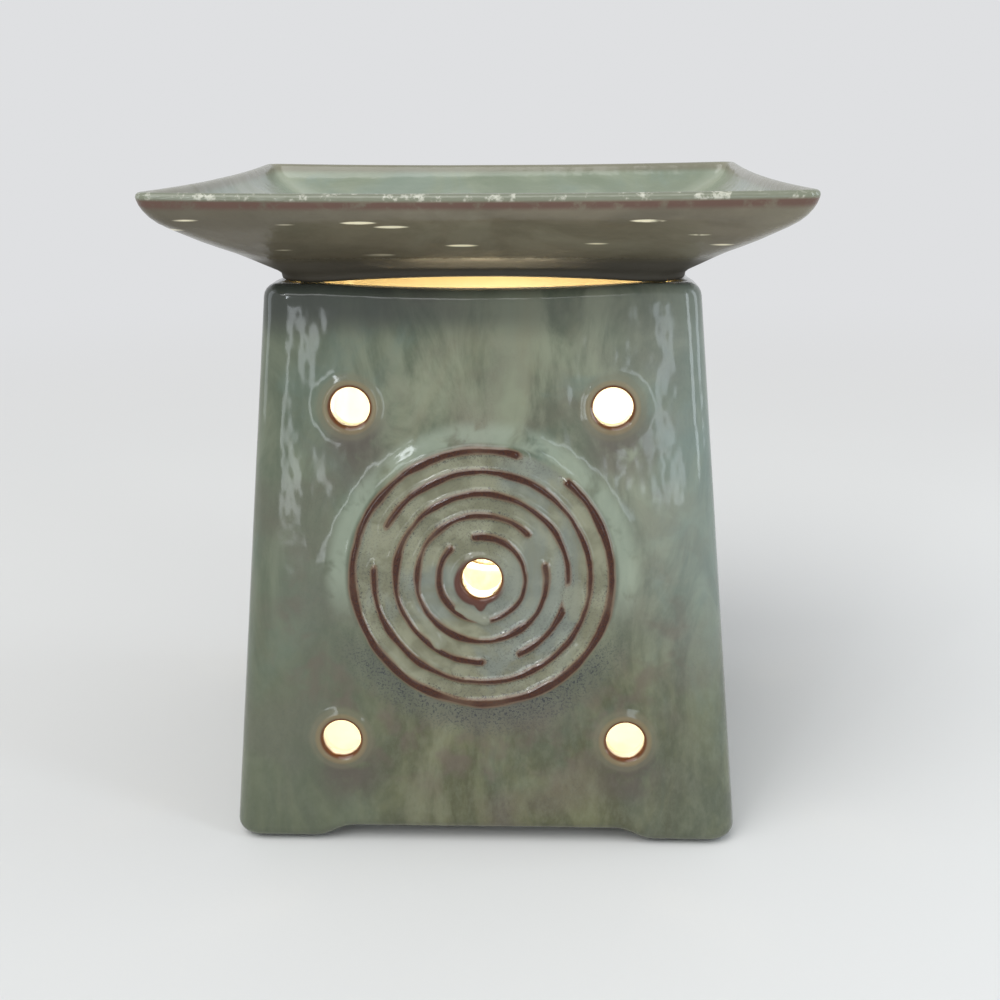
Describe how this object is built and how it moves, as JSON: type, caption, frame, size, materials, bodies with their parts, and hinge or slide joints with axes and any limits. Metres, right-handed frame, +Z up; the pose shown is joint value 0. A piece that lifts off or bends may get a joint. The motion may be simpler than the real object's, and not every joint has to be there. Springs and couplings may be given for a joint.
{
  "type": "wax melt warmer",
  "caption": "Tapered square ceramic wax melt warmer with pierced, ring-relief sides, a small globe lamp inside and a loose square dish on top.",
  "frame": {"origin": "middle of the base, at the level of the surface that the warmer stands on", "axes": "+Z up, front side towards -Y, cord inlet towards +Y"},
  "size_m": [0.1514, 0.1514, 0.1656],
  "materials": {
    "body_glaze": "glossy grey-green reactive glaze, red-brown where it thins",
    "dish_glaze": "glossy grey-green reactive glaze",
    "pad_rubber": "matt",
    "bush_rubber": "matt",
    "zinc_steel": "zinc plated",
    "holder_moulding": "moulded, satin",
    "holder_porcelain": "white glazed",
    "contact_brass": "bright stamped",
    "bulb_glass": "soft white inside",
    "cap_nickel": "nickel plated",
    "cap_insulation": "black vitreous",
    "tip_solder": "dull solder",
    "stem_glass": "clear",
    "lead_nickel": "drawn wire",
    "filament_glow": "glowing tungsten"
  },
  "bodies": {
    "housing": {"housing": "body_glaze", "foot_pad_1": "pad_rubber", "foot_pad_2": "pad_rubber", "foot_pad_3": "pad_rubber", "foot_pad_4": "pad_rubber", "cord_grommet": "bush_rubber", "nipple": "zinc_steel", "lock_nut_upper": "zinc_steel", "lock_nut_lower": "zinc_steel", "washer_upper": "zinc_steel", "washer_lower": "zinc_steel", "holder_base": "holder_moulding", "holder_body": "holder_porcelain", "thread_shell": "contact_brass", "centre_contact": "contact_brass", "terminal_screw_shell": "contact_brass", "terminal_screw_contact": "contact_brass"},
    "dish": {"dish": "dish_glaze"},
    "bulb_envelope": {"bulb_glass": "bulb_glass"},
    "bulb_core": {"bulb_cap": "cap_nickel", "cap_insulator": "cap_insulation", "tip_contact": "tip_solder", "glass_stem": "stem_glass", "lead_wire_left": "lead_nickel", "lead_wire_right": "lead_nickel", "support_wire": "lead_nickel", "filament": "filament_glow"}
  },
  "joints": [
    {"name": "dish_lift", "type": "slide", "parent": "housing", "child": "dish", "axis": [0, 0, 1], "range_m": [0, 0.05]},
    {"name": "bulb_rise", "type": "slide", "parent": "housing", "child": "bulb_envelope", "axis": [0, 0, 1], "range_m": [0, 0.01015]},
    {"name": "bulb_turn", "type": "hinge", "parent": "bulb_envelope", "child": "bulb_core", "pos_m": [0, 0, 0.05], "axis": [0, 0, 1], "range_deg": [0, 1440]}
  ],
  "couplings": [
    {"joint": "bulb_turn", "follows": "bulb_rise", "rad_per_m": 2473.7}
  ]
}
